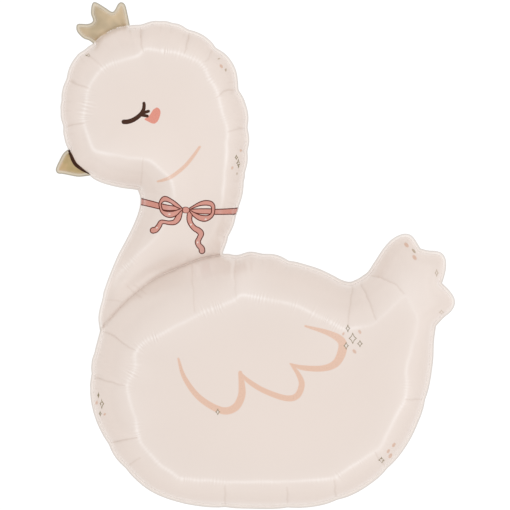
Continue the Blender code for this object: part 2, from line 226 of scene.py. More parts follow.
# Where the seam puckers: middle, reach and strength
PUCKERS = [(-170, 960, 110, 1.0), (-60, 880, 100, 1.0), (-14, 740, 120, 1.0),
           (-20, 620, 80, 0.8), (-370, 800, 130, 0.9), (-40, 500, 110, 0.8),
           (-320, 270, 90, 0.8), (-310, 150, 60, 0.4), (60, 495, 90, 0.5)]
PUCKER_LENGTH = 0.030
PUCKER_HEIGHT = 0.0016
PUCKER_ROWS = [(1.0, 1.0, 3), (0.35, 0.4, 5)]  # shares of height and length, and the draw
PUCKER_LEAST = 0.16         # how strong the puckers are elsewhere
PUCKER_SPAN = [0.10, 0.85]  # where they start and end, as shares of the way to the ridge
PUCKER_EASE = 0.005         # how soon beside the seam the puckers start
LOBE_WANDER = 0.5           # how far a pucker strays, in its own length
LOBE_TURN = 2.5             # and over what length
LOBE_ROUNDNESS = 0.85       # less makes the puckers rounder and the tucks sharper
CREASE_EASE = 0.006         # the same for the creases
LINE_EASE = 0.003           # the same for their lines of painted shade
FOLD_EASE = 0.004           # the same for all folds together
# The wave of the flat seam, up and down
SEAM_WAVE_HEIGHT = 0.0003
SEAM_WAVE_LENGTH = 0.034
SEAM_WAVE_STRAY = (3.0, 0.07, 11)
SHARP_ANGLE = 48.0          # a bend beyond this many degrees shows as an edge
DRIFT_VALUES = 4096         # how many values a random draw has
# Where a tuck notches the seam: its place, and its depth in thousandths of the height
NOTCHES = [(-221, 949, 4.2), (-186, 958, 1.5), (-162, 956, 2.0), (-133, 942, 4.0),
           (-77, 908, 4.6), (-36, 842, 1.4),
           (-334, 909, 1.5), (-350, 893, 1.4), (-32, 826, 4.2), (-18, 752, 4.2), (-16, 706, 2.8),
           (-21, 664, 2.2), (-25, 646, 1.8), (-32, 599, 1.4), (-38, 579, 1.6), (-51, 536, 2.0),
           (-29, 500, 1.8), (18, 499, 1.2), (69, 488, 3.4), (-367, 848, 3.8),
           (-380, 806, 1.6), (-381, 783, 1.2), (-375, 755, 3.6), (-373, 735, 1.6),
           (-315, 306, 1.4), (-321, 265, 3.2), (-323, 236, 1.3)]
NOTCH_LENGTH = 0.0085       # how soon the seam comes out again beside a notch
TUCK_LENGTH = 0.020         # how far in from the seam a notch's tuck reaches
TUCK_DEPTH = 0.28           # its depth beside that of a whole crease
CREASE_LASTING = 0.6        # how much of a crease is left where it meets the ridge

# The artwork. A stroke is a line of (x, y, width); a patch is a closed shape of (x, y).
EYELID = [(-256.6, 762.6, 9.3), (-249.8, 762.7, 9.3), (-240.3, 765.4, 9.1), (-230.4, 771.2, 8.7),
          (-222.3, 778.7, 8.1), (-217.8, 786.8, 7.4), (-216.6, 794.9, 6.7), (-217.0, 799.4, 6.1)]
LASH_UP = [(-221.3, 779.5, 6.6), (-208.0, 783.4, 6.0)]
LASH_LOW = [(-221.7, 776.3, 6.6), (-210.3, 773.9, 6.0)]
CHEEK = [(-192.1, 790.9), (-186.2, 787.6), (-184.2, 780.2), (-187.2, 768.8), (-192.1, 761.3),
         (-198.6, 758.9), (-208.3, 763.0), (-215.8, 768.0), (-208.3, 772.7), (-202.6, 780.2),
         (-197.8, 787.6)]
BEAK_LINE = [(-366.6, 708.0, 3.6), (-362.9, 698.9, 5.2), (-357.7, 686.7, 6.8),
             (-351.8, 678.2, 7.0), (-343.0, 671.1, 6.2), (-334.6, 665.4, 4.0),
             (-324.5, 659.6, 1.0)]
NECK_LINE = [(-190.0, 645.0, 3.6), (-178.0, 648.0, 6.0), (-161.5, 655.0, 7.4),
             (-137.4, 673.9, 7.2), (-120.6, 693.7, 6.6), (-107.0, 713.0, 5.2)]
WING = [[(-148.6, 296.0, 4.4), (-137.7, 261.3, 8.5), (-114.2, 226.7, 11.2), (-85.8, 204.5, 12.6),
         (-57.5, 193.7, 14.2), (-35.6, 201.6, 15.0), (-24.3, 223.3, 14.6), (-23.9, 245.1, 12.6),
         (-26.9, 268.8, 7.9)],
        [(-28.5, 270.4, 3.0), (-10.1, 251.8, 9.1), (21.3, 232.8, 10.3), (62.3, 218.8, 11.5),
         (84.4, 223.3, 12.3), (93.9, 245.1, 11.9), (87.6, 264.8, 9.1), (74.1, 283.6, 4.7)],
        [(71.1, 286.2, 3.0), (96.8, 278.3, 9.9), (134.8, 277.1, 11.9), (160.1, 286.6, 15.0),
         (172.5, 308.3, 17.4), (172.5, 330.0, 16.2), (147.4, 346.2, 10.8), (101.0, 360.2, 4.0)]]
RIBBON = [[(-227.0, 606.5, 10.0), (-202.9, 600.6, 9.5), (-187.5, 596.6, 9.0),
           (-172.2, 593.3, 8.6), (-156.8, 592.0, 6.4), (-144.0, 590.7, 1.5)],
          [(-126.0, 587.8, 2.0), (-119.5, 587.2, 4.6), (-106.3, 586.3, 7.7),
           (-85.4, 585.9, 8.3), (-77.7, 585.2, 8.0), (-58.0, 585.4, 8.6), (-40.4, 586.1, 9.2),
           (-30.5, 588.7, 7.4), (-24.0, 590.2, 6.4)],
          [(-142.1, 587.4, 1.2), (-146.0, 580.2, 6.4), (-150.2, 571.6, 9.2),
           (-156.6, 564.8, 7.4), (-167.1, 563.5, 5.4), (-176.5, 565.0, 4.6),
           (-183.4, 564.3, 6.6), (-187.7, 556.9, 7.4), (-193.5, 550.1, 8.6),
           (-199.2, 548.5, 9.4)],
          [(-130.0, 587.4, 1.2), (-126.9, 580.2, 7.6), (-127.4, 570.3, 7.4),
           (-124.5, 561.7, 7.2), (-117.7, 553.1, 7.6), (-108.9, 547.7, 9.0),
           (-104.5, 541.7, 8.6), (-107.8, 533.2, 6.8), (-110.7, 526.1, 8.2),
           (-108.7, 519.3, 7.8), (-103.4, 513.2, 8.8), (-102.5, 507.7, 9.2)],
          [(-143.2, 592.0, 1.5), (-153.5, 599.0, 5.3), (-163.8, 606.3, 5.4),
           (-176.5, 610.7, 7.6), (-184.7, 602.8, 3.0), (-184.2, 593.3, 2.6),
           (-181.2, 586.1, 3.8), (-172.8, 581.0, 8.4), (-163.8, 579.9, 9.8),
           (-154.6, 582.6, 7.5), (-146.9, 587.6, 3.3), (-141.4, 590.3, 1.0)],
          [(-126.5, 591.1, 1.0), (-116.8, 596.2, 2.6), (-106.9, 600.6, 5.0),
           (-96.0, 602.8, 7.0), (-85.9, 601.5, 7.0), (-81.0, 596.6, 5.5),
           (-80.4, 590.3, 4.6), (-81.2, 582.8, 4.2), (-84.8, 576.9, 5.3),
           (-92.0, 572.9, 7.9), (-98.6, 572.0, 9.4), (-107.8, 574.0, 8.3),
           (-116.8, 579.1, 5.5), (-124.9, 585.9, 1.2)]]
KNOT = [(-139.4, 592.3), (-134.7, 594.0), (-130.0, 592.6), (-127.9, 589.3), (-129.5, 584.5),
        (-133.3, 583.3), (-138.2, 584.2), (-140.2, 587.9)]
# Printed glints on the ribbon: middle, length and lean
RIBBON_GLINTS = [(-166.7, 580.2, 4.5, 0), (-124.3, 560.0, 4.5, 60), (-111.1, 524.8, 4.5, 60),
                 (-191.5, 553.8, 4.0, 40), (-95.3, 570.5, 4.5, 0)]
RIBBON_OUTLINE = 2.0        # how far the ribbon's dark outline stands out beside it
KNOT_OUTLINE = 1.22         # the knot's outline beside the knot
# Four-pointed sparkles: middle, width and height
SPARKLES = [(194.3, 336.0, 16.2, 22.9), (184.8, 355.7, 9.5, 17.0), (208.5, 325.5, 11.0, 14.8),
            (181.3, 321.5, 10.8, 15.8), (-71.1, 191.7, 9.5, 13.8), (-300.4, 206.5, 9.2, 22.0),
            (-303.4, 186.8, 6.2, 12.5), (-307.1, 223.3, 5.0, 13.8), (-34.6, 692.7, 7.0, 12.0),
            (-30.6, 680.8, 8.0, 21.0), (-328.0, 895.0, 11.0, 9.0), (251.5, 95.5, 13.0, 14.0)]
FAINT_SPARKLES = [(361.0, 464.5, 8.0, 17.0), (370.5, 387.0, 11.5, 9.0)]
# Leaning ovals: middle, length and lean; first the rosy ones, then the olive ones
ROSY_DOTS = [(208.1, 348.8, 9.0, -60), (197.6, 310.3, 10.0, -50), (175.9, 344.9, 7.0, 60),
             (-310.7, 208.5, 8.0, 75), (-294.5, 185.8, 6.5, 50), (-42.5, 671.9, 7.0, 70),
             (-25.7, 706.5, 7.0, 70), (-64.2, 873.5, 9.0, -58), (301.4, 519.8, 11.5, -48),
             (317.2, 495.1, 11.5, -55), (275.7, 125.5, 10.0, 59), (264.8, 113.2, 9.0, 61),
             (269.2, 103.8, 11.0, 64)]
OLIVE_DOTS = [(-69.2, 888.4, 6.0, 20), (-55.3, 866.6, 8.0, 90), (-33.0, 661.1, 6.5, 80),
              (315.8, 507.9, 11.0, -52)]
SPARKLE_LINE = 1.6          # the line round a sparkle's hollow
SPARKLE_SIDES = 2.6         # how much narrower the hollow is, in lines
SPARKLE_WAIST = 0.38        # how far the hollow sides come in
DOT_CORNERS = 10
DOT_SLIMNESS = 0.31         # half a dot's width beside its length
OLIVE_DOT_SLIMNESS = 0.21
INK_MARGIN = 0.001          # how far round a printed shape its triangles are looked for

# The foil's finish
PAINTED_LIGHT_STRENGTH = 0.11           # how much paler or deeper the painted light and shade make the ink
CRINKLE_HEIGHT = 0.00025    # in metres
GLOSS_SPREAD = 0.08         # how uneven the gloss is
TINT_CONTRAST = 5.0         # how sharply the tinted patches end
TINT_LEVEL = 0.4            # how much of the foil they take

# The table, the room and its lights
TABLE_SIZE = 6.0
TABLE_GREY = 0.10
TABLE_ROUGHNESS = 0.6
TABLE_GLOW = 0.93
# How bright the room is at each level, from the horizon (0) to straight above (1)
SKY = [(0.0, 0.84), (0.36, 0.88), (0.62, 0.88), (1.0, 1.24)]
SKY_SCALE = 2.0             # brightest value that the sky's ramp can hold
SKY_LEAN = 0.06             # how much brighter the room is to the right than in the middle
SOFTBOXES = 10
SOFTBOX_LEAN = 72.0         # degrees from straight above
SOFTBOX_DISTANCE = 3.0
SOFTBOX_WIDTH = 1.85
SOFTBOX_HEIGHT = 0.5
SOFTBOX_POWER = 0.8

# The camera. Over about 40 m up, the other views would come out blank, because they stand
# farther off and see only a hundred times the balloon's half diagonal.
CAMERA_HEIGHT = 22.0
CAMERA_END = 50.0           # how far it sees
SENSOR_WIDTH = 36.0         # in millimetres
SEAM_HEIGHT = 0.12          # about how high the seam lies over the table
FRAME_WIDTH = 0.892         # how much the picture takes in at the seam's height
FRAME_MIDDLE = (-0.0005, 0.0)

# The finishes by number, in the order of foil_finishes
(CREAM, SEAM_WITH_HIGHLIGHT, CUT, GOLD, GOLD_SEAM_WITH_HIGHLIGHT, GOLD_CUT, BROWN, ROSE, RIBBON_INK, PEACH, OLIVE,
 RIBBON_EDGE, DOT_INK, BEAK_GOLD, FAINT_OLIVE) = range(15)


def metres(points):
    """Points of the pattern in metres, from thousandths of the height."""
    return np.array([point[:2] for point in points], dtype=float) * HEIGHT / 1000.0


def walk(points, step):
    """Points at an even step along a polyline, both ends included; other columns go along."""
    lengths = np.linalg.norm(np.diff(points[:, :2], axis=0), axis=1)
    along = np.concatenate([[0.0], np.cumsum(lengths)])
    count = max(2, int(round(along[-1] / step)) + 1)
    marks = np.linspace(0.0, along[-1], count)
    return np.column_stack([np.interp(marks, along, column) for column in points.T])


def smooth(points, steps=12):
    """A Catmull-Rom curve through the points of one stretch."""
    ends = [2 * points[0] - points[1], 2 * points[-1] - points[-2]]
    padded = np.vstack([ends[:1], points, ends[1:]])
    share = (np.arange(steps) / steps)[:, None]
    curve = []
    for before, start, end, after in zip(padded, padded[1:], padded[2:], padded[3:]):
        curve.append(0.5 * (2 * start + (end - before) * share
                            + (2 * before - 5 * start + 4 * end - after) * share ** 2
                            + (3 * start - before - 3 * end + after) * share ** 3))
    return np.vstack(curve + [points[-1:]])


def smooth_loop(points, steps=8):
    """A closed smooth curve through points, without its first point again."""
    padded = np.vstack([points[-2:], points, points[:2]])
    return smooth(padded, steps)[2 * steps:-2 * steps - 1]


def shut(line):
    """A closed line with its first point again at the end."""
    return np.vstack([line, line[:1]])


def nearest(points, line, block=4000):
    """Distance from each point to a polyline, with the segment hit and the share along it."""
    starts = line[:-1]
    runs = line[1:] - starts
    squares = np.maximum((runs ** 2).sum(axis=1), 1e-12)
    found = []
    for first in range(0, len(points), block):
        offsets = points[first:first + block, None] - starts
        share = np.clip((offsets * runs).sum(axis=2) / squares, 0.0, 1.0)
        gaps = np.linalg.norm(offsets - share[..., None] * runs, axis=2)
        segment = gaps.argmin(axis=1)
        rows = np.arange(len(segment))
        found.append(np.column_stack([gaps[rows, segment], segment, share[rows, segment]]))
    found = np.vstack(found)
    return found[:, 0], found[:, 1].astype(int), found[:, 2]


def within(points, outline, block=4000):
    """Whether each point is inside a closed outline."""
    following = np.roll(outline, -1, axis=0)
    rise = following[:, 1] - outline[:, 1]
    slope = (following[:, 0] - outline[:, 0]) / np.where(rise == 0.0, 1.0, rise)
    inside = []
    for first in range(0, len(points), block):
        part = points[first:first + block]
        spans = (outline[:, 1] > part[:, None, 1]) != (following[:, 1] > part[:, None, 1])
        crossing = outline[:, 0] + slope * (part[:, None, 1] - outline[:, 1])
        inside.append((spans & (part[:, None, 0] < crossing)).sum(axis=1) % 2 == 1)
    return np.concatenate(inside)


def box_mask(points, shape, margin):
    """Points in the box round a shape, with a margin."""
    low = shape.min(axis=0) - margin
    high = shape.max(axis=0) + margin
    return ((points >= low) & (points <= high)).all(axis=1)


def inward_normals(outline):
    """Unit normals into a clockwise outline."""
    along = np.roll(outline, -1, axis=0) - np.roll(outline, 1, axis=0)
    along /= np.linalg.norm(along, axis=1)[:, None]
    return np.column_stack([along[:, 1], -along[:, 0]])


def drift(along, length, draw):
    """A smooth wandering value between -1 and 1 along a line, a new turn every length."""
    values = np.random.default_rng(draw).uniform(-1.0, 1.0, DRIFT_VALUES)
    place = np.abs(along) / length
    step = np.floor(place).astype(int)
    share = fade(place - step, 1.0)
    return values[step % DRIFT_VALUES] * (1.0 - share) + values[(step + 1) % DRIFT_VALUES] * share


def stray(along, amount, length, draw):
    """A wandering value along a line, by up to an amount either way."""
    return amount * drift(along, length, draw)


def patches(points, spots):
    """How strongly a list of (x, y, reach, strength) spots acts on each point."""
    total = np.zeros(len(points))
    for x, y, reach, strength in spots:
        middle = metres([(x, y)])[0]
        spread = reach * HEIGHT / 1000.0
        gaps = ((points - middle) ** 2).sum(axis=1) / spread ** 2
        total = np.maximum(total, strength * np.exp(-gaps))
    return total


def lobes(along, length, draw):
    """Rows of rounded puckers between sharp tucks: 0 at the top of a pucker, -1 in a tuck."""
    wander = stray(along, length * LOBE_WANDER, length * LOBE_TURN, draw)
    return np.abs(np.sin(math.pi * (along + wander) / length)) ** LOBE_ROUNDNESS - 1.0


def fade(distance, reach):
    """A smooth step from 0 where the distance is 0 to 1 at the reach."""
    share = np.clip(distance / reach, 0.0, 1.0)
    return share * share * (3.0 - 2.0 * share)


def seam_outline():
    """The seam's outer edge, drawn in by creases and notches, and the edge before that."""
    stretches = []
    for stretch in STRETCHES:
        step = SMALL_STEP if stretch in SMALL_STRETCHES else SEAM_STEP
        stretches.append(walk(smooth(metres(stretch)), step)[:-1])
    outline = np.vstack(stretches)
    pulls = [(line[0], SCALLOP_DEPTH, SCALLOP_LENGTH) for line, _ in CREASES]
    pulls += [(notch, notch[2] * HEIGHT / 1000.0, NOTCH_LENGTH) for notch in NOTCHES]
    pull = np.zeros(len(outline))
    for place, depth, length in pulls:
        gaps = np.linalg.norm(outline - metres([place])[0], axis=1)
        pull = np.maximum(pull, depth * np.exp(-(gaps - gaps.min()) / length))
    pull -= SEAM_EASE
    return outline + inward_normals(outline) * pull[:, None], outline


def moved_in(outline, distance):
    """The outline moved in by a distance; points that fold back over it are left out."""
    line = outline + inward_normals(outline) * distance
    gaps = nearest(line, shut(outline))[0]
    return line[gaps > FOLDED_BACK * distance]


def beside(line, offset):
    """A line moved to its left by an offset, one value or one for each point."""
    along = np.gradient(line[:, :2], axis=0)
    along /= np.linalg.norm(along, axis=1)[:, None]
    offset = np.broadcast_to(offset, (len(line),))
    return line[:, :2] + np.column_stack([-along[:, 1], along[:, 0]]) * offset[:, None]


def crooked(line, number):
    """A crease drawn a little crooked, the way foil folds."""
    marks = walk(line, CREASE_STEP)
    share = np.linspace(0.0, 1.0, len(marks))
    amount, length, draw = CREASE_STRAY
    aside = stray(share * len(marks) * CREASE_STEP, amount, length, draw + number)
    return beside(marks, aside * np.sin(math.pi * share))


def stroke_line(stroke):
    """The smooth middle line of a stroke, with its width in a third column, in metres."""
    line = np.array(stroke, dtype=float) * HEIGHT / 1000.0
    return walk(smooth(line), STROKE_STEP)


def stroke_border(line, grow=0.0):
    """The closed border of a stroke with rounded ends."""
    half = line[:, 2] / 2.0 + grow
    left = beside(line, half)
    right = beside(line, -half)
    caps = []
    for end, inner, radius in ((line[-1], line[-2], half[-1]), (line[0], line[1], half[0])):
        away = (end - inner)[:2]
        heading = math.atan2(away[1], away[0])
        turns = heading + math.pi / 2.0 - math.pi * np.arange(1, CAP_STEPS) / CAP_STEPS
        caps.append(end[:2] + radius * np.column_stack([np.cos(turns), np.sin(turns)]))
    return np.vstack([left, caps[0], right[::-1], caps[1]])


def sparkle(x, y, width, height):
    """The four-pointed outline of a sparkle, with hollow sides."""
    waist = SPARKLE_WAIST
    corners = [(0, height / 2), (waist * width / 2, waist * height / 2), (width / 2, 0),
               (waist * width / 2, -waist * height / 2), (0, -height / 2),
               (-waist * width / 2, -waist * height / 2), (-width / 2, 0),
               (-waist * width / 2, waist * height / 2)]
    return metres([(x + a, y + b) for a, b in corners])


def dot(x, y, length, lean, slimness=DOT_SLIMNESS):
    """A leaning oval."""
    turns = np.linspace(0.0, 2.0 * math.pi, DOT_CORNERS, endpoint=False)
    oval = np.column_stack([np.cos(turns) * length / 2.0, np.sin(turns) * length * slimness])
    angle = math.radians(lean)
    turn = np.array([[math.cos(angle), math.sin(angle)], [-math.sin(angle), math.cos(angle)]])
    return metres(oval @ turn + (x, y))


def artwork():
    """The printed shapes in the order they are laid down: border, middle line or None, ink."""
    shapes = []

    def draw(stroke, ink, grow=0.0):
        line = stroke_line(stroke)
        wide = line + [0.0, 0.0, 2.0 * grow]
        shapes.append((stroke_border(line, grow), wide, ink))

    for stroke in WING:
        draw(stroke, PEACH)
    draw(NECK_LINE, PEACH)
    edge = RIBBON_OUTLINE * HEIGHT / 1000.0
    for stroke in RIBBON:
        draw(stroke, RIBBON_EDGE, edge)
        draw(stroke, RIBBON_INK)
    knot = smooth_loop(metres(KNOT))
    middle = knot.mean(axis=0)
    shapes.append((middle + (knot - middle) * KNOT_OUTLINE, None, RIBBON_EDGE))
    shapes.append((knot, None, RIBBON_INK))
    for spot in RIBBON_GLINTS:
        shapes.append((dot(*spot), None, CREAM))
    shapes.append((smooth_loop(metres(CHEEK)), None, ROSE))
    for stroke in (EYELID, LASH_UP, LASH_LOW, BEAK_LINE):
        draw(stroke, BROWN)
    for spark in SPARKLES + FAINT_SPARKLES:
        outer = sparkle(*spark)
        middle = outer.mean(axis=0)
        shapes.append((outer, None, OLIVE if spark in SPARKLES else FAINT_OLIVE))
        hollow = 1.0 - SPARKLE_SIDES * SPARKLE_LINE / spark[2]
        shapes.append((middle + (outer - middle) * hollow, None, CREAM))
    for spot in ROSY_DOTS:
        shapes.append((dot(*spot), None, DOT_INK))
    for spot in OLIVE_DOTS:
        shapes.append((dot(*spot, slimness=OLIVE_DOT_SLIMNESS), None, FAINT_OLIVE))
    return shapes


def grid(outline, spacing):
    """A triangular lattice of points over the outline's box."""
    low = outline.min(axis=0)
    high = outline.max(axis=0)
    row_height = spacing * math.sqrt(3.0) / 2.0
    rows = np.arange(low[1], high[1], row_height)
    columns = np.arange(low[0], high[0], spacing)
    shifts = np.where(np.arange(len(rows)) % 2 == 0, 0.0, spacing / 2.0)
    x = (columns[None, :] + shifts[:, None]).ravel()
    y = np.repeat(rows, len(columns))
    return np.column_stack([x, y])


class Ruler:
    """Measures how far points lie from a set of lines, and how far along them."""

    def __init__(self, lines):
        """Lays sample points along the lines."""
        samples = [walk(line[:, :2], RULER_STEP) for line in lines]
        self.along = np.concatenate([np.arange(len(part)) * RULER_STEP + RULER_GAP * number
                                     for number, part in enumerate(samples)])
        self.number = np.repeat(np.arange(len(samples)), [len(part) for part in samples])
        self.tree = kdtree.KDTree(len(self.along))
        for index, point in enumerate(np.vstack(samples)):
            self.tree.insert((point[0], point[1], 0.0), index)
        self.tree.balance()

    def read(self, points):
        """Distance to the lines, the way along them and the line's number, for each point."""
        found = [self.tree.find((x, y, 0.0)) for x, y in points]
        hit = np.array([item[1] for item in found])
        gap = np.array([item[2] for item in found])
        return gap, self.along[hit], self.number[hit]


def ridge_line(corners, number):
    """A closed ridge through its corners, a little rounded and crooked; sharpness goes along."""
    line = np.array(corners, dtype=float) * (HEIGHT / 1000.0, HEIGHT / 1000.0, 1.0)
    line = walk(shut(line), RIDGE_STEP)[:-1]
    line = 0.5 * line + 0.25 * (np.roll(line, 1, axis=0) + np.roll(line, -1, axis=0))
    along = np.arange(len(line)) * RIDGE_STEP
    amount, length, draw = RIDGE_STRAY
    wander = stray(along, amount, length, draw + number)
    wander *= np.minimum(1.0, np.minimum(along, along[::-1]) / RIDGE_JOIN)
    line[:, :2] += inward_normals(line[:, :2]) * wander[:, None]
    return shut(line)


def ripple_wave(along):
    """Where a place along a ridge stands on the uneven scale that its ripples follow."""
    return along + stray(along, *WAVE_STRAYS[0]) + stray(along, *WAVE_STRAYS[1])


def ridge_marks(ridge):
    """A ridge's line with the feet of its ripples, and the short lines across it that they take."""
    lengths = np.linalg.norm(np.diff(ridge[:, :2], axis=0), axis=1)
    turns = np.concatenate([[0.0], np.cumsum(lengths)])

    def at(marks, columns):
        return np.column_stack([np.interp(marks, turns, column) for column in columns.T])

    along = np.arange(0.0, turns[-1], RIPPLE_PROBE)
    phase = np.maximum.accumulate(ripple_wave(along) / RIPPLE_LENGTH * RIPPLE_FEET)
    feet = np.interp(np.arange(1.0, phase[-1]), phase, along)
    places = at(feet, ridge)
    wanted = patches(places[:, :2], RIPPLES) * places[:, 2] > RIPPLE_LEAST
    feet = feet[wanted]
    places = places[wanted, :2]
    across = at(feet, shut(inward_normals(ridge[:-1, :2])))
    across /= np.linalg.norm(across, axis=1)[:, None]
    across *= 1.0 + patches(places, LONG_RIPPLES)[:, None]
    lines = [place + side * RIPPLE_REACH * TOOTH_STEPS[:, None]
             for place, side in zip(places, across)]
    fixed = np.concatenate([feet, turns[[0, -1]]])
    plain = np.arange(0.0, turns[-1], PLAIN_STEP)
    clear = np.abs(plain[:, None] - fixed).min(axis=1) > PLAIN_GAP
    return at(np.unique(np.concatenate([fixed, plain[clear]])), ridge[:, :2]), lines


def drawn_lines(pattern, sizes):
    """The lines that a sheet's triangles follow, each with whether it is closed."""
    lines = [(pattern["outline"], True), (pattern["cut"], True), (pattern["edge"], True)]
    lines += [(weld, False) for weld in pattern["welds"]]
    for ridge in pattern["ridges"]:
        marks, teeth = ridge_marks(ridge)
        lines.append((marks, False))
        lines += [(tooth, False) for tooth in teeth if sizes["teeth"]]
    lines += [(crease, False) for crease, _, _ in pattern["creases"]]
    lines += [(border, True) for border, _, _ in pattern["art"]]
    return lines


def filling(pattern, lines, sizes):
    """Grid points between the lines, fine beside the ridges and coarse over the plateaus."""
    drawn = Ruler([shut(line) if closed else line for line, closed in lines])
    ridges = Ruler(pattern["ridges"])
    edge = pattern["edge"]
    filled = []
    for zone in ("plateau", "band", "ridge", "small"):
        points = grid(edge, sizes[zone])
        points = points[within(points, edge)]
        small = pattern["small"](points)
        if zone == "small":
            points = points[small]
        else:
            points = points[~small]
            near = ridges.read(points)[0] < RIDGE_ZONE
            inside = np.zeros(len(points), dtype=bool)
            for ridge in pattern["ridges"]:
                inside |= within(points, ridge[:-1, :2])
            wanted = {"ridge": near, "band": ~near & ~inside, "plateau": ~near & inside}
            points = points[wanted[zone]]
        gap = drawn.read(points)[0]
        filled.extend(points[gap > GRID_GAP * sizes[zone]].tolist())
    return filled


def lay_out(pattern, sizes):
    """The flat sheet as points and triangles, with the points that lie on a seam or a weld."""
    lines = drawn_lines(pattern, sizes)
    held_lines = 3 + len(pattern["welds"])
    corners = []
    edges = []
    owner = []
    for number, (line, closed) in enumerate(lines):
        first = len(corners)
        corners.extend(line.tolist())
        run = [(first + i, first + i + 1) for i in range(len(line) - 1)]
        if closed:
            run.append((first + len(line) - 1, first))
        edges.extend(run)
        owner.extend([number] * len(run))
    corners.extend(filling(pattern, lines, sizes))
    border = list(range(len(pattern["outline"])))
    result = delaunay_2d_cdt([Vector(corner) for corner in corners], edges, [border], 1,
                             LEAST_LENGTH)
    found, joined, triangles, _, origins, _ = result
    points = np.array([corner[:] for corner in found])
    triangles = np.array([face for face in triangles])
    triangles = triangles[within(points[triangles].mean(axis=1), pattern["outline"])]
    held = np.zeros(len(points), dtype=bool)
    for pair, origin in zip(joined, origins):
        if any(source < len(owner) and owner[source] < held_lines for source in origin):
            held[list(pair)] = True
    used, triangles = np.unique(triangles, return_inverse=True)
    points = points[used]
    held = held[used]
    outside = np.nonzero(~held)[0]
    held[outside[~within(points[outside], pattern["edge"])]] = True
    return points, triangles.reshape(-1, 3), held


def rise(points, triangles, held):
    """Height of an inflated sheet held at its seams, from the pressure on a stretched film."""
    first = np.concatenate([triangles[:, i] for i in range(3)])
    second = np.concatenate([triangles[:, (i + 1) % 3] for i in range(3)])
    apex = np.concatenate([triangles[:, (i + 2) % 3] for i in range(3)])
    one = points[first] - points[apex]
    two = points[second] - points[apex]
    cross = np.abs(one[:, 0] * two[:, 1] - one[:, 1] * two[:, 0])
    weight = 0.5 * (one * two).sum(axis=1) / np.maximum(cross, 1e-12)
    load = np.bincount(apex, cross / 6.0, len(points))
    load[held] = 0.0
    total = np.bincount(first, weight, len(points)) + np.bincount(second, weight, len(points))
    ease = 1.0 / np.maximum(total, 1e-9)

    def pull(height):
        flow = weight * (height[first] - height[second])
        drawn = np.bincount(first, flow, len(points)) - np.bincount(second, flow, len(points))
        drawn[held] = 0.0
        return drawn

    height = np.zeros(len(points))
    rest = load.copy()
    eased = rest * ease
    push = eased.copy()
    size = rest @ eased
    goal = RISE_ACCURACY * size
    while size > goal:
        answer = pull(push)
        step = size / (push @ answer)
        height += step * push
        rest -= step * answer
        eased = rest * ease
        new_size = rest @ eased
        push = eased + push * new_size / size
        size = new_size
    return FULLNESS * np.sqrt(2.0 * np.maximum(height, 0.0))


def draw_pattern():
    """Every line of the flat pattern, in metres."""
    outline, unpuckered = seam_outline()
    pattern = {"outline": outline, "cut": moved_in(outline, CUT_EDGE),
               "edge": moved_in(outline, SEAM_WIDTH), "unpuckered": unpuckered, "welds": [],
               "art": artwork()}
    pattern["weld_lines"] = [walk(smooth(metres(weld)), SEAM_STEP) for weld in WELDS]
    for weld, width in zip(pattern["weld_lines"], WELD_WIDTHS):
        for side in (-0.5, 0.5):
            pattern["welds"].append(beside(weld, side * width))
    pattern["ridges"] = [ridge_line(corners, number) for number, corners in enumerate(RIDGES)]
    pattern["creases"] = [(crooked(smooth(metres(line)), number), strength, CREASE_LASTING)
                          for number, (line, strength) in enumerate(CREASES)]
    inward = inward_normals(outline)
    for number, place in enumerate(metres(NOTCHES)):
        start = np.linalg.norm(outline - place, axis=1).argmin()
        tuck = np.array([outline[start], outline[start] + TUCK_LENGTH * inward[start]])
        pattern["creases"].append((crooked(tuck, number), TUCK_DEPTH, 0.0))
    for name, stretch, weld in (("crown", CROWN, CROWN_WELD[::-1]), ("beak", BEAK, BEAK_WELD)):
        gold = beside(smooth(metres(stretch)), GOLD_BEYOND)
        pattern[name] = np.vstack([gold, metres(weld)])
    pattern["small"] = lambda points: (within(points, pattern["crown"])
                                       | within(points, pattern["beak"]))
    return pattern


def read_pattern(points, pattern):
    """What the folds need to know of each point: its way to seam, ridges and creases."""
    seam = Ruler([shut(pattern["edge"])] + pattern["weld_lines"])
    gap, _, chain = seam.read(points)
    border = Ruler([shut(pattern["unpuckered"])] + pattern["weld_lines"])
    _, along, _ = border.read(points)
    to_seam, _, _ = Ruler([shut(pattern["edge"])]).read(points)
    facts = {"gap": gap, "along": along, "chain": chain, "to_seam": to_seam}
    head = within(points, np.vstack([pattern["weld_lines"][0], metres(HEAD_SIDE)]))
    ridge_gap = np.full(len(points), FAR_OFF)
    ridge_along = np.zeros(len(points))
    sharp = np.zeros(len(points))
    inside = np.zeros(len(points), dtype=bool)
    for ridge, chamber in zip(pattern["ridges"], (~head, head)):
        line = ridge[:, :2]
        lengths = np.linalg.norm(np.diff(line, axis=0), axis=1)
        starts = np.concatenate([[0.0], np.cumsum(lengths)])[:-1]
        distance, segment, share = nearest(points, line)
        strength = ridge[segment, 2] * (1.0 - share) + ridge[segment + 1, 2] * share
        closer = chamber & (distance < ridge_gap)
        ridge_gap = np.where(closer, distance, ridge_gap)
        ridge_along = np.where(closer, starts[segment] + share * lengths[segment], ridge_along)
        sharp = np.where(closer, strength, sharp)
        inside |= within(points, line[:-1])
    facts.update(ridge_gap=ridge_gap, ridge_along=ridge_along, sharp=sharp, inside=inside)
    return facts


def felt(points, ridges, spread, power=1.0):
    """How strongly the sharper stretches of the ridges reach over to each point."""
    strongest = np.zeros(len(points))
    for x, y, sharp in np.vstack(ridges).tolist():
        away = np.hypot(points[:, 0] - x, points[:, 1] - y)
        strongest = np.maximum(strongest, sharp ** power * np.exp(-away / spread))
    return strongest


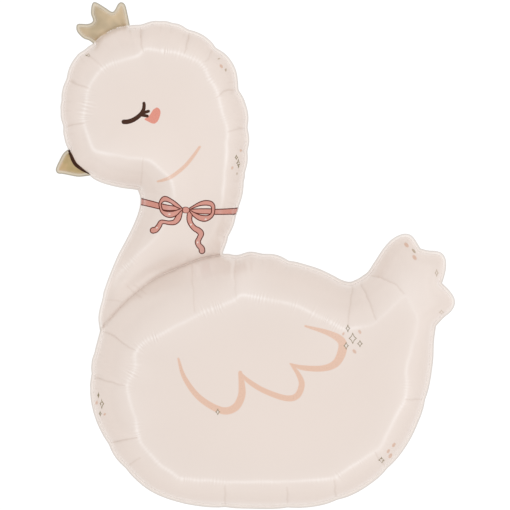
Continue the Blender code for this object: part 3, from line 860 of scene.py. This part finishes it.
def swell(points, pattern, facts):
    """The ridges, as a height to add."""
    spread = np.where(facts["inside"], RIDGE_INNER, RIDGE_OUTER)
    away = np.hypot(facts["ridge_gap"], RIDGE_ROUND) - RIDGE_ROUND
    added = facts["sharp"] * np.exp(-away / spread)
    share = np.where(facts["inside"], 1.0, 1.0 - facts["sharp"])
    added = np.maximum(added, share * felt(points, pattern["ridges"], RIDGE_INNER))
    return RIDGE_RISE * added * fade(facts["gap"], RIDGE_FOOT)


def pressed_creases(points, creases):
    """The creases, as a way to move along the normal and as thin lines of painted shade."""
    shift = np.zeros(len(points))
    line = np.zeros(len(points))
    for crease, strength, lasting in creases:
        close = np.nonzero(box_mask(points, crease, 3.0 * CREASE_DIP_WIDTH))[0]
        distance, segment, share = nearest(points[close], crease)
        share = (segment + share) / (len(crease) - 1)
        wave = np.sin(math.pi * (CREASE_START + (1.0 - 2.0 * CREASE_START) * share))
        body = wave * np.exp(-(share - CREASE_DEEPEST) ** 2)
        beyond = np.exp(-(distance / CREASE_DIP_WIDTH) ** 2)
        shift[close] -= strength * CREASE_DIP * body * beyond
        left = strength * (1.0 - (1.0 - lasting) * share)
        shift[close] -= CREASE_CUT * left * np.exp(-distance / CREASE_CUT_WIDTH)
        # a thin line of painted shade down the crease
        crease_shade = -left ** 0.5 * np.exp(-(distance / CREASE_SHADE_WIDTH) ** 2)
        line[close] = np.minimum(line[close], crease_shade)
    return shift, line


def ripples(points, facts):
    """The ripples across the ridges, from -1 to 1 and beyond, and how strong their comb is."""
    way = facts["ridge_along"]
    comb = COMB_MIDDLE + stray(way, *COMB_STRAYS[0]) + stray(way, *COMB_STRAYS[1])
    comb = np.maximum(comb, 0.0) * (patches(points, RIPPLES) * facts["sharp"])
    reach = RIPPLE_REACH * (REACH_MIDDLE + stray(way, *REACH_STRAY))
    reach *= 1.0 + patches(points, LONG_RIPPLES)
    near = np.exp(-(facts["ridge_gap"] / reach) ** 2)
    return comb * near * np.sin(2.0 * math.pi * ripple_wave(way) / RIPPLE_LENGTH), comb


def painted_glow_and_shade(points, pattern, facts):
    """Painted light round the ridges, and painted shade towards the seam."""
    ridge_gap = facts["ridge_gap"]
    to_seam = facts["to_seam"]
    nearer = (to_seam / np.maximum(to_seam + ridge_gap, 1e-6)) ** GLOW_POWER
    outside = RIDGE_PAINTED_GLOW * nearer - SEAM_PAINTED_SHADE * (1.0 - nearer)
    clear = np.sqrt(facts["sharp"])
    around = felt(points, pattern["ridges"], RIDGE_PAINTED_GLOW_REACH, 0.5)
    inside = np.maximum(clear * np.exp(-ridge_gap / RIDGE_PAINTED_GLOW_REACH), around)
    outside = clear * outside + (1.0 - clear) * RIDGE_PAINTED_GLOW * around
    return np.where(facts["inside"], RIDGE_PAINTED_GLOW * inside, outside)


def folds(points, pattern, facts):
    """Creases, puckers and ripples as a way to move along the normal, and the ink's painted light
    and shade.
    """
    gap = facts["gap"]
    shift, line = pressed_creases(points, pattern["creases"])
    shift *= fade(gap, CREASE_EASE)
    between = gap / np.maximum(gap + facts["ridge_gap"], 1e-6)
    band = np.where(facts["inside"], 0.0, 1.0)
    zone = PUCKER_LEAST + (1.0 - PUCKER_LEAST) * patches(points, PUCKERS)
    first, last = PUCKER_SPAN
    envelope = band * fade(between, first) * (1.0 - fade(between, last)) * fade(gap, PUCKER_EASE)
    for size, length, draw in PUCKER_ROWS:
        rows = lobes(facts["along"], length * PUCKER_LENGTH, draw)
        shift += size * PUCKER_HEIGHT * zone * envelope * rows
    ripple, comb = ripples(points, facts)
    shift += RIPPLE_HEIGHT * ripple
    # a painted highlight along the ridge
    painted_glint = facts["sharp"] * np.exp(-(facts["ridge_gap"] / RIDGE_HIGHLIGHT_WIDTH) ** 2)
    painted_glint *= RIDGE_HIGHLIGHT * (1.0 + stray(facts["ridge_along"], *RIDGE_HIGHLIGHT_STRAY))
    line = line * fade(gap, LINE_EASE) + painted_glint * (1.0 - COMB_DIMMING * comb)
    # painted highlight on the ripples' crests, painted shade in their troughs
    line += np.where(ripple > 0.0, RIPPLE_HIGHLIGHT, RIPPLE_PAINTED_SHADE) * ripple
    # painted light round the ridges, painted shade towards the seam
    line += painted_glow_and_shade(points, pattern, facts)
    # painted light in soft patches
    line += patches(points, PAINTED_LIGHT_SPOTS)
    return shift * fade(gap, FOLD_EASE), line


def sheet_normals(points, triangles):
    """Unit normals of a raised sheet at its points."""
    sides = [points[triangles[:, i]] for i in range(3)]
    across = np.cross(sides[1] - sides[0], sides[2] - sides[0])
    normals = np.column_stack([
        sum(np.bincount(triangles[:, i], across[:, axis], len(points)) for i in range(3))
        for axis in range(3)])
    return normals / np.maximum(np.linalg.norm(normals, axis=1), 1e-12)[:, None]


def pressed_together(points, pattern, facts):
    """How high the two chambers beside a weld stand where they press together over it."""
    eased = fade(facts["to_seam"], CONTACT_EASE)
    eased = np.where(within(points, pattern["edge"]), eased, 0.0)
    lifted = np.zeros(len(points))
    for weld, contact in zip(pattern["weld_lines"], WELD_CONTACTS):
        gap, segment, share = nearest(points, weld)
        way = (segment + share) / (len(weld) - 1)
        lifted += contact * np.sin(math.pi * way) ** 0.5 * np.exp(-(gap / CONTACT_WIDTH) ** 2)
    return lifted * eased


def weld_shade(points, pattern):
    """How much painted shade darkens the ink where the neck weld starts at the breast."""
    weld = pattern["weld_lines"][0]
    gap, segment, _ = nearest(points, weld)
    left = np.clip(1.0 - segment / (len(weld) - 1) / WELD_SHADE_END, 0.0, 1.0)
    return WELD_SHADE * left ** 0.5 * np.exp(-(gap / WELD_SHADE_WIDTH) ** 2)


def make_sheet(front):
    """One raised sheet, before it is set at the seam's level."""
    pattern = draw_pattern()
    points, triangles, held = lay_out(pattern, FRONT_GRID if front else BACK_GRID)
    facts = read_pattern(points, pattern)
    height = rise(points, triangles, held)
    height = np.where(held, 0.0, np.maximum(height + swell(points, pattern, facts), 0.0))
    contact = pressed_together(points, pattern, facts)
    height = np.hypot(height, contact)
    raised = np.column_stack([points, height])
    normals = sheet_normals(raised, triangles)
    normals *= np.where(normals[:, 2:] < 0.0, -1.0, 1.0)
    shift, line = folds(points, pattern, facts)
    shift = np.where(held, 0.0, shift)
    raised = raised + normals * shift[:, None]
    raised[:, 2] = np.where(held, contact, np.maximum(raised[:, 2], 0.0))
    # a painted highlight where the flat seam ends
    seam_foot_highlight = SEAM_FOOT_HIGHLIGHT * np.exp(-(facts["gap"] / SEAM_FOOT_HIGHLIGHT_WIDTH) ** 2)
    facts["line"] = np.where(held, 0.0, line) + np.where(facts["chain"] == 0, seam_foot_highlight, 0.0)
    # painted shade along the front of the neck weld
    facts["line"] -= weld_shade(points, pattern)
    return raised, triangles, held, facts, pattern


def seam_level():
    """The seam's height over the floor along Y, read off the frame's own rim."""
    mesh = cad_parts[BALLOON].data
    corners = np.zeros(len(mesh.vertices) * 3)
    mesh.vertices.foreach_get("co", corners)
    corners = corners.reshape(-1, 3)
    ends = []
    for pick in (corners[:, 1].min(), corners[:, 1].max()):
        rim = corners[np.abs(corners[:, 1] - pick) < 1e-5]
        ends.append((pick, (rim[:, 2].min() + rim[:, 2].max()) / 2.0))
    (low, low_level), (high, high_level) = ends
    slope = (high_level - low_level) / (high - low)
    return lambda y: low_level + slope * (y - low)


def ink_faces(flat, pattern):
    """The finish of each triangle, from where its middle lies on the pattern."""
    finish = np.full(len(flat), CREAM)
    crown = within(flat, pattern["crown"])
    beak = within(flat, pattern["beak"])
    for border, line, ink in pattern["art"]:
        near = np.nonzero(box_mask(flat, border, INK_MARGIN))[0]
        if len(near) == 0:
            continue
        if line is None:
            hit = within(flat[near], border)
        else:
            distance, segment, share = nearest(flat[near], line[:, :2])
            width = line[segment, 2] * (1.0 - share) + line[segment + 1, 2] * share
            hit = distance < width / 2.0 + LEAST_LENGTH
        finish[near[hit]] = ink
    gold = (crown | beak) & (finish == CREAM)
    finish[gold] = np.where(beak[gold], BEAK_GOLD, GOLD)
    seam = ~within(flat, pattern["edge"])
    crown_weld = pattern["weld_lines"][1]
    seam |= (nearest(flat, crown_weld)[0] < WELD_WIDTHS[1] / 2.0) & ~crown & ~beak
    finish[seam & (finish == CREAM)] = SEAM_WITH_HIGHLIGHT
    finish[seam & ((finish == GOLD) | (finish == BEAK_GOLD))] = GOLD_SEAM_WITH_HIGHLIGHT
    cut = ~within(flat, pattern["cut"])
    finish[cut & (finish != GOLD_SEAM_WITH_HIGHLIGHT)] = CUT
    finish[cut & (finish == GOLD_SEAM_WITH_HIGHLIGHT)] = GOLD_CUT
    return finish


def foil_envelope():
    """The balloon's skin: the printed front sheet, the back sheet and the cut edge."""
    level = seam_level()
    half = SEAM_THICKNESS / 2.0
    sheets = []
    for front in (True, False):
        raised, triangles, held, facts, pattern = make_sheet(front)
        outline = pattern["outline"]
        middle = (outline.max(axis=0) + outline.min(axis=0)) / 2.0
        finish = ink_faces(raised[triangles].mean(axis=1)[:, :2], pattern)
        raised[:, :2] -= middle
        seam = level(raised[:, 1])
        along = facts["along"]
        wave = SEAM_WAVE_HEIGHT * np.sin(along * 2.0 * math.pi / SEAM_WAVE_LENGTH
                                         + stray(along, *SEAM_WAVE_STRAY))
        wave *= held & (facts["chain"] == 0)
        if front:
            raised[:, 2] = seam + wave + half + raised[:, 2]
        else:
            raised[:, 2] = np.maximum(seam + wave - half - raised[:, 2], 0.0)
        sheets.append((raised, triangles, finish, facts["line"]))
    shape = bmesh.new()
    # the painted light and shade of each point, which tints the ink
    painted_light_and_shade = shape.verts.layers.float.new("painted_light_and_shade")
    for side, (raised, triangles, finish, line) in enumerate(sheets):
        corners = [shape.verts.new(point) for point in raised.tolist()]
        for corner, value in zip(corners, line.tolist()):
            corner[painted_light_and_shade] = value
        for (a, b, c), ink in zip(triangles.tolist(), finish.tolist()):
            order = (a, b, c) if side == 0 else (a, c, b)
            face = shape.faces.new([corners[i] for i in order])
            face.material_index = ink
    rims = [edge for edge in shape.edges if edge.is_boundary]
    bridge = bmesh.ops.bridge_loops(shape, edges=rims)
    for face in bridge["faces"]:
        face.material_index = CUT
    bmesh.ops.triangulate(shape, faces=[face for face in shape.faces if len(face.verts) > 3])
    bmesh.ops.recalc_face_normals(shape, faces=shape.faces)
    mesh = bpy.data.meshes.new("foil_envelope")
    shape.to_mesh(mesh)
    shape.free()
    mesh.shade_smooth()
    mesh.set_sharp_from_angle(angle=math.radians(SHARP_ANGLE))
    return mesh


def set_inputs(node, inputs):
    """Sets each named or numbered input of a node to a value, or links it to a socket."""
    for name, value in inputs.items():
        if isinstance(value, bpy.types.NodeSocket):
            node.id_data.links.new(value, node.inputs[name])
        else:
            node.inputs[name].default_value = value


def add_node(tree, kind, inputs=None, **properties):
    """A new node with its properties and inputs."""
    node = tree.nodes.new(kind)
    for name, value in properties.items():
        setattr(node, name, value)
    set_inputs(node, inputs or {})
    return node


def multiply_add(tree, value, factor, added, **properties):
    """A value times a factor, with something added; each is a number or a socket."""
    node = add_node(tree, "ShaderNodeMath", {0: value, 1: factor, 2: added},
                    operation="MULTIPLY_ADD", **properties)
    return node.outputs[0]


def crinkle_group():
    """Shared surface of printed foil: a soft crinkle, a little tone, the painted light and shade,
    and an uneven gloss.
    """
    group = bpy.data.node_groups.new("foil crinkle", "ShaderNodeTree")
    for name, way, kind in (("Crinkle Size", "INPUT", "Float"), ("Gloss", "INPUT", "Float"),
                            ("Colour", "INPUT", "Color"), ("Tone", "INPUT", "Float"),
                            ("Tone Size", "INPUT", "Float"), ("Tint", "INPUT", "Color"),
                            ("Colour", "OUTPUT", "Color"), ("Roughness", "OUTPUT", "Float"),
                            ("Height", "OUTPUT", "Float")):
        group.interface.new_socket(name, in_out=way, socket_type=f"NodeSocket{kind}")
    given = group.nodes.new("NodeGroupInput").outputs
    place = add_node(group, "ShaderNodeTexCoord").outputs["Object"]
    coarse = add_node(group, "ShaderNodeTexNoise",
                      {"Vector": place, "Scale": given["Crinkle Size"], "Detail": 3.0,
                       "Roughness": 0.45})
    cells = add_node(group, "ShaderNodeTexVoronoi",
                     {"Vector": place, "Scale": given["Crinkle Size"], "Smoothness": 0.6},
                     feature="SMOOTH_F1")
    height = add_node(group, "ShaderNodeMix",
                      {0: 0.35, 2: coarse.outputs["Fac"], 3: cells.outputs["Distance"]})
    fine = add_node(group, "ShaderNodeTexNoise", {"Vector": place, "Scale": 900.0, "Detail": 2.0})
    gloss = multiply_add(group, fine.outputs["Fac"], GLOSS_SPREAD, given["Gloss"])
    wide = add_node(group, "ShaderNodeTexNoise",
                    {"Vector": place, "Scale": given["Tone Size"], "Detail": 2.0})
    centred = add_node(group, "ShaderNodeMath", {0: wide.outputs["Fac"], 1: 0.5},
                       operation="SUBTRACT").outputs[0]
    change = multiply_add(group, centred, given["Tone"], 1.0)
    # painted light and shade from the sheet's points: paler and greyer at painted highlights,
    # deeper at painted shade
    painted_light_and_shade = add_node(group, "ShaderNodeAttribute", attribute_name="painted_light_and_shade").outputs["Fac"]
    paler = multiply_add(group, painted_light_and_shade, PAINTED_LIGHT_STRENGTH, change)
    greyer = multiply_add(group, painted_light_and_shade, -2.0 * PAINTED_LIGHT_STRENGTH, 1.0)
    where = multiply_add(group, centred, TINT_CONTRAST, TINT_LEVEL, use_clamp=True)
    tinted = add_node(group, "ShaderNodeMix",
                      {0: where, 6: given["Colour"], 7: given["Tint"]}, data_type="RGBA")
    shade = add_node(group, "ShaderNodeHueSaturation",
                     {"Color": tinted.outputs[2], "Value": paler, "Saturation": greyer})
    add_node(group, "NodeGroupOutput", {"Colour": shade.outputs["Color"], "Roughness": gloss,
                                        "Height": height.outputs[0]})
    return group


def linear(red, green, blue):
    """A display colour, 0 to 255, as a shader colour."""
    values = []
    for value in (red, green, blue):
        value /= 255.0
        values.append(value / 12.92 if value <= 0.04045 else ((value + 0.055) / 1.055) ** 2.4)
    return (*values, 1.0)


def printed_foil(name, colour, gloss=0.24, metallic=0.10, tone=0.02, size=46.0, coat=0.1,
                 shine=0.35, tone_size=7.0, tint=None):
    """Foil printed in one ink, with the shared crinkle and a tint in patches."""
    material = bpy.data.materials.new(name)
    material.use_nodes = True
    tree = material.node_tree
    crinkle = add_node(tree, "ShaderNodeGroup",
                       {"Crinkle Size": size, "Gloss": gloss - GLOSS_SPREAD / 2.0,
                        "Colour": linear(*colour), "Tone": tone, "Tone Size": tone_size,
                        "Tint": linear(*(tint or colour))}, node_tree=CRINKLE)
    bumps = add_node(tree, "ShaderNodeBump", {"Strength": 1.0, "Distance": CRINKLE_HEIGHT,
                                              "Height": crinkle.outputs["Height"]})
    set_inputs(tree.nodes["Principled BSDF"],
               {"Metallic": metallic, "Specular IOR Level": shine, "Coat Weight": coat,
                "Coat Roughness": 0.08, "Normal": bumps.outputs["Normal"],
                "Base Color": crinkle.outputs["Colour"],
                "Roughness": crinkle.outputs["Roughness"]})
    return material


def foil_finishes():
    """The balloon's finishes in the order of their numbers."""
    return [
        printed_foil("cream_foil", (229, 215, 206)),
        # paler than the cream foil: partly the seam's own paler finish, partly a painted highlight
        printed_foil("sealed_seam_with_highlight", (235, 226, 219), gloss=0.22, size=160.0),
        printed_foil("bare_cut_edge", (217, 211, 206), gloss=0.3, metallic=0.2),
        # its tone and tint in patches, at random places, are painted fold shadows and painted
        # reflections
        printed_foil("gold_foil", (196, 178, 150), gloss=0.3, metallic=0.15, tone=0.6,
                     tone_size=26.0, tint=(209, 188, 159)),
        # paler than the gold foil: partly the seam's own finish, partly a painted highlight along
        # the chamber's edge
        printed_foil("gold_seam_with_highlight", (205, 191, 166), gloss=0.26, metallic=0.2, tone=0.1),
        printed_foil("gold_cut_edge", (168, 160, 145), gloss=0.3, metallic=0.2, tone=0.1),
        printed_foil("brown_ink", (70, 42, 30), gloss=0.4, metallic=0.0, coat=0.0, shine=0.1),
        printed_foil("rose_ink", (220, 142, 124), gloss=0.28, shine=0.3),
        printed_foil("ribbon_ink", (208, 142, 127), gloss=0.28, shine=0.3),
        printed_foil("peach_ink", (224, 188, 167), gloss=0.28, shine=0.3),
        printed_foil("olive_ink", (138, 123, 94), gloss=0.3, shine=0.2),
        printed_foil("ribbon_outline_ink", (92, 36, 24), gloss=0.4, metallic=0.0, coat=0.0,
                     shine=0.1),
        printed_foil("rosy_dot_ink", (215, 184, 166), gloss=0.3, shine=0.2),
        # its tone and tint in patches, at random places, are painted fold shadows and painted
        # reflections
        printed_foil("beak_foil", (193, 171, 130), gloss=0.3, metallic=0.15, tone=0.5,
                     tone_size=36.0, tint=(210, 176, 143)),
        printed_foil("faint_olive_ink", (186, 168, 148), gloss=0.3, shine=0.2),
    ]


def placed(name, data):
    """A new object in the scene."""
    thing = bpy.data.objects.new(name, data)
    bpy.context.scene.collection.objects.link(thing)
    return thing


def pale_table():
    """A pale lit table top that the balloon lies on."""
    shape = bmesh.new()
    bmesh.ops.create_grid(shape, x_segments=1, y_segments=1, size=TABLE_SIZE)
    mesh = bpy.data.meshes.new("table_top")
    shape.to_mesh(mesh)
    shape.free()
    material = bpy.data.materials.new("lit_acrylic")
    material.use_nodes = True
    set_inputs(material.node_tree.nodes["Principled BSDF"],
               {"Base Color": (TABLE_GREY, TABLE_GREY, TABLE_GREY, 1.0),
                "Roughness": TABLE_ROUGHNESS, "Emission Color": (1.0, 1.0, 1.0, 1.0),
                "Emission Strength": TABLE_GLOW})
    mesh.materials.append(material)
    placed("table_top", mesh)


def softbox(number):
    """One softbox of the ring, turned round the balloon and leaning from straight above."""
    data = bpy.data.lights.new(f"softbox_{number}", "AREA")
    data.shape = "RECTANGLE"
    data.size = SOFTBOX_WIDTH
    data.size_y = SOFTBOX_HEIGHT
    data.energy = SOFTBOX_POWER
    turn = 2.0 * math.pi * number / SOFTBOXES
    lean = math.radians(SOFTBOX_LEAN)
    away = Vector((math.sin(lean) * math.cos(turn), math.sin(lean) * math.sin(turn),
                   math.cos(lean)))
    light = placed(data.name, data)
    light.location = away * SOFTBOX_DISTANCE
    light.rotation_mode = "QUATERNION"
    light.rotation_quaternion = away.to_track_quat("Z", "Y")
    light.visible_camera = False


def studio():
    """Soft light from all round, and a ring of softboxes."""
    world = bpy.data.worlds.new("studio")
    bpy.context.scene.world = world
    world.use_nodes = True
    tree = world.node_tree
    place = add_node(tree, "ShaderNodeTexCoord").outputs["Object"]
    apart = add_node(tree, "ShaderNodeSeparateXYZ", {"Vector": place})
    height = add_node(tree, "ShaderNodeValToRGB", {"Fac": apart.outputs["Z"]})
    height.color_ramp.interpolation = "EASE"
    while len(height.color_ramp.elements) < len(SKY):
        height.color_ramp.elements.new(0.5)
    for element, (level, light) in zip(height.color_ramp.elements, SKY):
        element.position = level
        element.color = (light / SKY_SCALE, light / SKY_SCALE, light / SKY_SCALE, 1.0)
    strength = multiply_add(tree, apart.outputs["X"], SKY_SCALE * SKY_LEAN, SKY_SCALE)
    set_inputs(tree.nodes["Background"],
               {"Color": height.outputs["Color"], "Strength": strength})
    for number in range(SOFTBOXES):
        softbox(number)


def camera():
    """The camera straight above, far off, framing what the photograph frames."""
    data = bpy.data.cameras.new("camera")
    data.sensor_width = SENSOR_WIDTH
    data.lens = data.sensor_width * (CAMERA_HEIGHT - SEAM_HEIGHT) / FRAME_WIDTH
    data.clip_end = CAMERA_END
    eye = placed("camera", data)
    eye.location = (FRAME_MIDDLE[0], FRAME_MIDDLE[1], CAMERA_HEIGHT)
    bpy.context.scene.camera = eye


CRINKLE = crinkle_group()
skin = foil_envelope()
for finish in foil_finishes():
    skin.materials.append(finish)
balloon = placed("foil_envelope", skin)
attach(balloon, "root")
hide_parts(BALLOON)
pale_table()
studio()
camera()
bpy.context.scene.view_settings.view_transform = "Standard"
